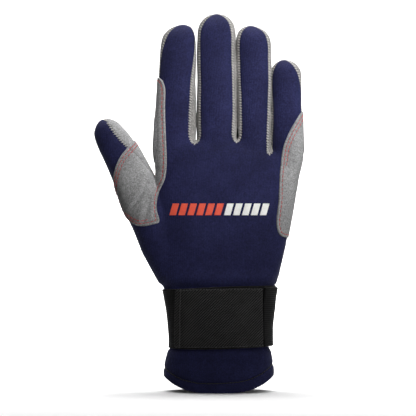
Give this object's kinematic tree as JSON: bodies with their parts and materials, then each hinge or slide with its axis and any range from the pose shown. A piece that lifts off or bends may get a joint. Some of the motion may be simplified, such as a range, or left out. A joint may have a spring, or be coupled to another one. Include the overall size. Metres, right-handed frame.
{
  "type": "sailing glove",
  "caption": "Full-finger right-hand sailing glove: navy neoprene back, grey suede palm and side strips, stitched wear patches, and a black wrist strap with a peeling hook-and-loop tab.",
  "frame": {"origin": "middle of the cuff's mouth, where the wearer's wrist goes in", "axes": "+Z from the cuff to the fingertips, +Y out of the palm, -Y out of the back of the hand, so the thumb is on the -X side"},
  "size_m": [0.1383, 0.04, 0.2509],
  "materials": {
    "navy_neoprene": "jersey-faced neoprene, matte",
    "grey_suede": "synthetic suede, napped and matte",
    "strap_elastic": "ribbed woven elastic, matte",
    "strap_webbing": "diagonal-faced closure webbing, matte",
    "closure_tape": "hook-and-loop tape, matte",
    "coral_print": "raised silicone print, satin",
    "white_print": "raised silicone print, satin"
  },
  "bodies": {
    "hand": {"back_panel": "navy_neoprene", "palm_panel": "grey_suede", "finger_gussets": "grey_suede", "cuff_sleeve": "navy_neoprene", "cuff_hem": "navy_neoprene", "web_patch": "grey_suede", "little_patch": "grey_suede", "palm_patch_heel": "grey_suede", "palm_patch_knuckle": "grey_suede", "print_coral": "coral_print", "print_white": "white_print", "strap_band": "strap_elastic", "strap_root": "strap_elastic", "loop_tape": "closure_tape"},
    "index_lower": {"index_back_lower": "navy_neoprene", "index_palm_lower": "grey_suede", "index_patch_lower": "grey_suede", "index_side_lower": "grey_suede"},
    "index_tip": {"index_back_tip": "navy_neoprene", "index_palm_tip": "grey_suede", "index_side_tip": "grey_suede"},
    "middle_lower": {"middle_back_lower": "navy_neoprene", "middle_palm_lower": "grey_suede", "middle_side_lower": "grey_suede"},
    "middle_tip": {"middle_back_tip": "navy_neoprene", "middle_palm_tip": "grey_suede", "middle_side_tip": "grey_suede"},
    "ring_lower": {"ring_back_lower": "navy_neoprene", "ring_palm_lower": "grey_suede", "ring_side_lower": "grey_suede"},
    "ring_tip": {"ring_back_tip": "navy_neoprene", "ring_palm_tip": "grey_suede", "ring_side_tip": "grey_suede"},
    "little_lower": {"little_back_lower": "navy_neoprene", "little_palm_lower": "grey_suede", "little_patch_lower": "grey_suede", "little_side_lower": "grey_suede"},
    "little_tip": {"little_back_tip": "navy_neoprene", "little_palm_tip": "grey_suede", "little_side_tip": "grey_suede"},
    "thumb": {"thumb_back": "navy_neoprene", "thumb_front": "grey_suede"},
    "strap_tab": {"strap_tab": "strap_webbing", "hook_tape": "closure_tape"}
  },
  "joints": [
    {"name": "index_middle_joint", "type": "hinge", "parent": "hand", "child": "index_lower", "pos_m": [-0.028, 0.0038, 0.187], "axis": [-1, 0, 0], "range_deg": [0, 90], "stiffness_Nm_per_rad": 0.006},
    {"name": "index_end_joint", "type": "hinge", "parent": "index_lower", "child": "index_tip", "pos_m": [-0.0268, 0.0067, 0.2145], "axis": [-1, 0, 0], "range_deg": [0, 54], "stiffness_Nm_per_rad": 0.002},
    {"name": "middle_middle_joint", "type": "hinge", "parent": "hand", "child": "middle_lower", "pos_m": [-0.0019, 0.0041, 0.19], "axis": [-1, 0, 0], "range_deg": [0, 90], "stiffness_Nm_per_rad": 0.006},
    {"name": "middle_end_joint", "type": "hinge", "parent": "middle_lower", "child": "middle_tip", "pos_m": [-0.0022, 0.0075, 0.2195], "axis": [-1, 0, 0], "range_deg": [0, 54], "stiffness_Nm_per_rad": 0.002},
    {"name": "ring_middle_joint", "type": "hinge", "parent": "hand", "child": "ring_lower", "pos_m": [0.0229, 0.0037, 0.187], "axis": [-1, 0, 0], "range_deg": [0, 90], "stiffness_Nm_per_rad": 0.006},
    {"name": "ring_end_joint", "type": "hinge", "parent": "ring_lower", "child": "ring_tip", "pos_m": [0.0231, 0.0065, 0.2135], "axis": [-1, 0, 0], "range_deg": [0, 54], "stiffness_Nm_per_rad": 0.002},
    {"name": "little_middle_joint", "type": "hinge", "parent": "hand", "child": "little_lower", "pos_m": [0.0442, 0.0029, 0.177], "axis": [-1, 0, 0], "range_deg": [0, 90], "stiffness_Nm_per_rad": 0.006},
    {"name": "little_end_joint", "type": "hinge", "parent": "little_lower", "child": "little_tip", "pos_m": [0.044, 0.0045, 0.198], "axis": [-1, 0, 0], "range_deg": [0, 54], "stiffness_Nm_per_rad": 0.002},
    {"name": "thumb_end_joint", "type": "hinge", "parent": "hand", "child": "thumb", "pos_m": [-0.0678, 0.0046, 0.1592], "axis": [-0.6108, 0.7071, -0.3563], "range_deg": [0, 60], "stiffness_Nm_per_rad": 0.004},
    {"name": "strap_tab_peel", "type": "hinge", "parent": "hand", "child": "strap_tab", "pos_m": [0.0295, -0.0134, 0.0493], "axis": [0, 0, 1], "range_deg": [0, 75]}
  ],
  "couplings": [
    {"joint": "index_end_joint", "follows": "index_middle_joint", "ratio": 0.6},
    {"joint": "middle_end_joint", "follows": "middle_middle_joint", "ratio": 0.6},
    {"joint": "ring_end_joint", "follows": "ring_middle_joint", "ratio": 0.6},
    {"joint": "little_end_joint", "follows": "little_middle_joint", "ratio": 0.6}
  ]
}
